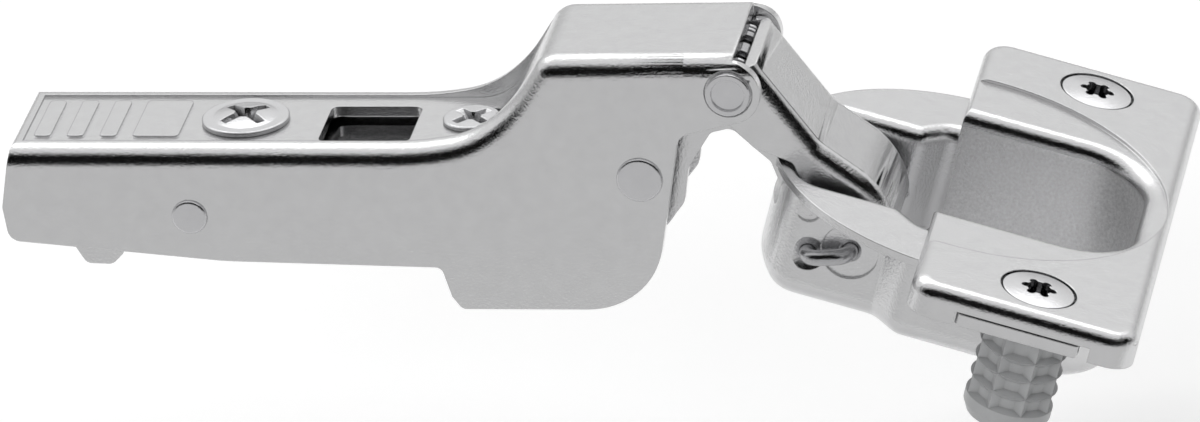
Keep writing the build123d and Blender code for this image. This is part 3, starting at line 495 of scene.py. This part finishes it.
def round_pin(pin, radius, turn, y):
    """A place at a radius and an angle round a pin that lies along Y."""
    return (pin[0] + radius * cos(turn), y, pin[1] + radius * sin(turn))


def quarter_turn(steps):
    """Angles from nought to a right angle."""
    return [radians(90 * step / steps) for step in range(steps + 1)]


def band(mesh, y_from, y_to):
    """A flat strip bent round the upper arm pin."""
    inner, outer = BAND_R
    section = ((inner, y_from), (outer, y_from), (outer, y_to), (inner, y_to))
    rings = []
    for step in range(BAND_STEPS + 1):
        turn = radians(BAND_ARC[0] + (BAND_ARC[1] - BAND_ARC[0]) * step / BAND_STEPS)
        rings.append([mesh.verts.new(round_pin(OUTER_PIN, r, turn, y)) for r, y in section])
    joined(mesh, rings, closed=False)


def wire_turn(mesh, y_middle):
    """One closed turn of round wire round the upper arm pin."""
    tilts = [radians(360 * k / WIRE_SIDES) for k in range(WIRE_SIDES)]
    section = [(WIRE_COIL_R + WIRE_R * cos(tilt), y_middle + WIRE_R * sin(tilt)) for tilt in tilts]
    rings = []
    for step in range(WIRE_STEPS):
        turn = radians(360 * step / WIRE_STEPS)
        rings.append([mesh.verts.new(round_pin(OUTER_PIN, r, turn, y)) for r, y in section])
    joined(mesh, rings, closed=True)


def add_closing_spring():
    """The spring's visible bands and turns in one piece, in place of the plain coil."""
    mesh = bmesh.new()
    for y_from, y_to in BANDS:
        band(mesh, y_from, y_to)
    for y_middle in WIRE_TURNS:
        wire_turn(mesh, y_middle)
    piece = new_object("closing_spring_coils", mesh)
    for face in piece.data.polygons:
        face.use_smooth = True
    piece.data.set_sharp_from_angle(angle=radians(SPRING_SHARP))
    piece.data.materials.append(wire_steel)
    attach(piece, "arm")
    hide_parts("closing_spring")


def corner_tool(name, path, half_width, bend_r, side):
    """What a press leaves off a sharp corner to round it: a bar along a path of (x, z) places and
    outward directions, whose inner side is hollowed to the bend's radius."""
    inner, outer = half_width - bend_r, half_width + BEND_TOOL_SPARE
    section = [(outer, BEND_TOOL_SPARE), (inner, BEND_TOOL_SPARE)]
    section += [(inner + bend_r * sin(a), bend_r * cos(a) - bend_r) for a in quarter_turn(BEND_STEPS)]
    section += [(outer, -bend_r)]
    mesh = bmesh.new()
    rings = []
    for (x, z), (out_x, out_z) in path:
        rings.append([mesh.verts.new((x + out * out_x, side * y, z + out * out_z)) for y, out in section])
    joined(mesh, rings, closed=False)
    return new_object(name, mesh)


def block_tool(name, low, high):
    """A block to cut with."""
    mesh = bmesh.new()
    bmesh.ops.create_cube(mesh, size=1)
    for vertex in mesh.verts:
        vertex.co = [low[k] + (vertex.co[k] + 0.5) * (high[k] - low[k]) for k in range(3)]
    return new_object(name, mesh)


def lathe_tool(name, pin, profile, side):
    """A ring turned round a pin's axis from a closed profile of (radius, y) places."""
    turns = [radians(360 * step / LATHE_STEPS) for step in range(LATHE_STEPS)]
    mesh = bmesh.new()
    rings = []
    for radius, y in profile:
        rings.append([mesh.verts.new(round_pin(pin, radius, turn, side * y)) for turn in turns])
    joined(mesh, rings, closed=True)
    return new_object(name, mesh)


def keep_shading(before, after):
    """Corners that the cuts left alone keep the solid's own smooth directions."""
    tree = KDTree(len(before.vertices))
    for vertex in before.vertices:
        tree.insert(vertex.co, vertex.index)
    tree.balance()
    corners = {vertex.index: [] for vertex in before.vertices}
    for face in before.polygons:
        for loop in face.loop_indices:
            direction = before.corner_normals[loop].vector.copy()
            corners[before.loops[loop].vertex_index].append((face.normal.copy(), direction))
    directions = [corner.vector.copy() for corner in after.corner_normals]
    for face in after.polygons:
        kept = {}
        for loop in face.loop_indices:
            place = after.vertices[after.loops[loop].vertex_index].co
            near = [pair for found in tree.find_range(place, SAME_PLACE) for pair in corners[found[1]]]
            if not near:
                continue
            nearest = max(near, key=lambda pair: pair[0].dot(face.normal))
            if nearest[0].dot(face.normal) > SAME_WAY:
                kept[loop] = nearest[1]
        flat = kept and all(direction.dot(face.normal) > FLAT for direction in kept.values())
        for loop in face.loop_indices:
            if loop in kept:
                directions[loop] = kept[loop]
            elif flat:
                directions[loop] = face.normal.copy()
    after.normals_split_custom_set(directions)


def formed(node, body, material, tools):
    """A node's shape with some of it cut away, in place of the node."""
    solid = nodes[node].data
    piece = bpy.data.objects.new(node + "_formed", solid.copy())
    bpy.context.scene.collection.objects.link(piece)
    for tool in tools:
        cut = piece.modifiers.new("cut", "BOOLEAN")
        cut.operation = "DIFFERENCE"
        cut.solver = "EXACT"
        cut.object = tool
    bpy.context.view_layer.update()
    evaluated = piece.evaluated_get(bpy.context.evaluated_depsgraph_get())
    result = bpy.data.meshes.new_from_object(evaluated)
    piece.modifiers.clear()
    piece.data = result
    for tool in tools:
        data = tool.data
        bpy.data.objects.remove(tool)
        bpy.data.meshes.remove(data)
    result.materials.clear()
    result.materials.append(material)
    for face in result.polygons:
        face.material_index = 0
        face.use_smooth = True
    result.set_sharp_from_angle(angle=radians(CUT_SHARP))
    keep_shading(solid, result)
    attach(piece, body)
    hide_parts(node)


def turned(way, angle):
    """A direction in the plane, turned to the left by an angle."""
    return Vector((way.x * cos(angle) - way.y * sin(angle), way.x * sin(angle) + way.y * cos(angle)))


def left_of(way):
    """The direction square to another, on its left."""
    return Vector((-way.y, way.x))


def rounded_path(corners, radii):
    """Places and outward directions along a line with rounded corners; outward is to the left."""
    places = [Vector(corner) for corner in corners]
    ways = [(after - before).normalized() for before, after in zip(places, places[1:])]
    path = [(places[0], left_of(ways[0]))]
    for corner, radius, came, goes in zip(places[1:], radii, ways, ways[1:]):
        turn = came.angle_signed(goes)
        start = corner - radius * abs(tan(turn / 2)) * came
        for step in range(PATH_STEPS + 1):
            swing = -turn * step / PATH_STEPS
            chord = 2 * radius * sin(abs(swing) / 2)
            path.append((start + chord * turned(came, swing / 2), left_of(turned(came, swing))))
    path.append((places[-1], left_of(ways[-1])))
    return path


def add_formed_arm():
    """The arm with its bend carried over the finger, and a groove round each upper pin head."""
    straight = [(place, (-PLATEAU_SLOPE, 1)) for place in ARM_BEND_RUN]
    low, high = ARM_HALF_WIDTH - GROOVE_DEPTH, ARM_HALF_WIDTH + GROOVE_TOOL_SPARE
    inner, outer = GROOVE_R
    groove = [(inner, low), (outer, low), (outer + GROOVE_FLARE, high), (inner, high)]
    tools = []
    for side in (-1, 1):
        tools.append(corner_tool("arm_corner", straight, ARM_HALF_WIDTH, ARM_BEND_R, side))
        tools.append(lathe_tool("pin_groove", OUTER_PIN, groove, side))
    formed("hinge_arm", "arm", steel_sheet, tools)


def add_formed_link():
    """The outer link with rounded bends and a shorter top edge."""
    path = rounded_path(LINK_CORNERS, LINK_RADII)
    tools = [corner_tool("link_corner", path, LINK_HALF_WIDTH, LINK_BEND_R, side) for side in (-1, 1)]
    tools.append(block_tool("link_top", *LINK_TOP_CUT))
    formed("outer_link", "link_outer", steel_sheet, tools)


def add_formed_pins():
    """The arm's pins with rounded rims on their heads."""
    top = ARM_HALF_WIDTH + HEAD_HEIGHT
    for node, body, place, head_r in PINS:
        rim = []
        for turn in quarter_turn(RIM_STEPS):
            rim.append((head_r - HEAD_ROUND * (1 - sin(turn)), top - HEAD_ROUND * (1 - cos(turn))))
        rim.append((head_r + HEAD_TOOL_SPARE, top - HEAD_ROUND))
        rim.append((head_r + HEAD_TOOL_SPARE, top + HEAD_TOOL_SPARE))
        rim.append((head_r - HEAD_ROUND, top + HEAD_TOOL_SPARE))
        tools = [lathe_tool("head_rim", place, rim, side) for side in (-1, 1)]
        formed(node, body, pin_steel, tools)


add_camera()
add_stage()

steel_sheet = plated("nickel_sheet", NICKEL, rough=0.17, grain_scale=4000, grain_strength=0.9)
cup_steel = plated("nickel_cup", NICKEL, rough=0.18, grain_scale=4000, grain_strength=0.9, drawn_well_painted_light=True)
# Painted shade: the inner arm is the same nickel steel, given a darker shade and darkened further where
# shut in, for the shade inside the arm's window
inner_steel_painted_shade = plated(
    "nickel_inner_arm_painted_shade", (0.42, 0.42, 0.425), rough=0.22, grain_scale=4800, grain_strength=0.7,
    edge_r=0, crevice_shade_reach=0.012,
)
pin_steel = plated("bright_pin", (0.56, 0.56, 0.57), rough=0.20, grain_scale=5200, grain_strength=0.6)
# Painted shade: the screws' colour darkens where shut in, in their recesses
screw_steel = plated(
    "plated_screw", (0.62, 0.62, 0.63), rough=0.20, grain_scale=5200, grain_strength=0.5, crevice_shade_reach=0.0016,
)
wire_steel = plated("spring_wire", (0.42, 0.42, 0.43), rough=0.22, grain_scale=5200, grain_strength=0.5)
dowel_plastic = moulded("dowel_plastic", (0.40, 0.405, 0.41), rough=0.34)

finishes = {
    steel_sheet: ["hinge_arm", "outer_link", "inner_link", "clip_lever"],
    cup_steel: ["cup", "dowel_plate_near", "dowel_plate_far"],
    inner_steel_painted_shade: ["inner_arm"],
    pin_steel: ["rear_pin", "inner_link_pin", "outer_link_pin", "clip_lever_pin"],
    screw_steel: ["depth_adjusting_screw", "side_adjusting_screw", "dowel_screw_near", "dowel_screw_far"],
    wire_steel: ["clip_lever_spring", "closing_spring", "hairpin_near", "hairpin_far"],
    dowel_plastic: ["dowel_near", "dowel_far"],
}
for material, members in finishes.items():
    for name in members:
        finish_node(name, material)

add_closing_spring()
add_formed_arm()
add_formed_link()
add_formed_pins()

bpy.context.scene.view_settings.view_transform = "Standard"
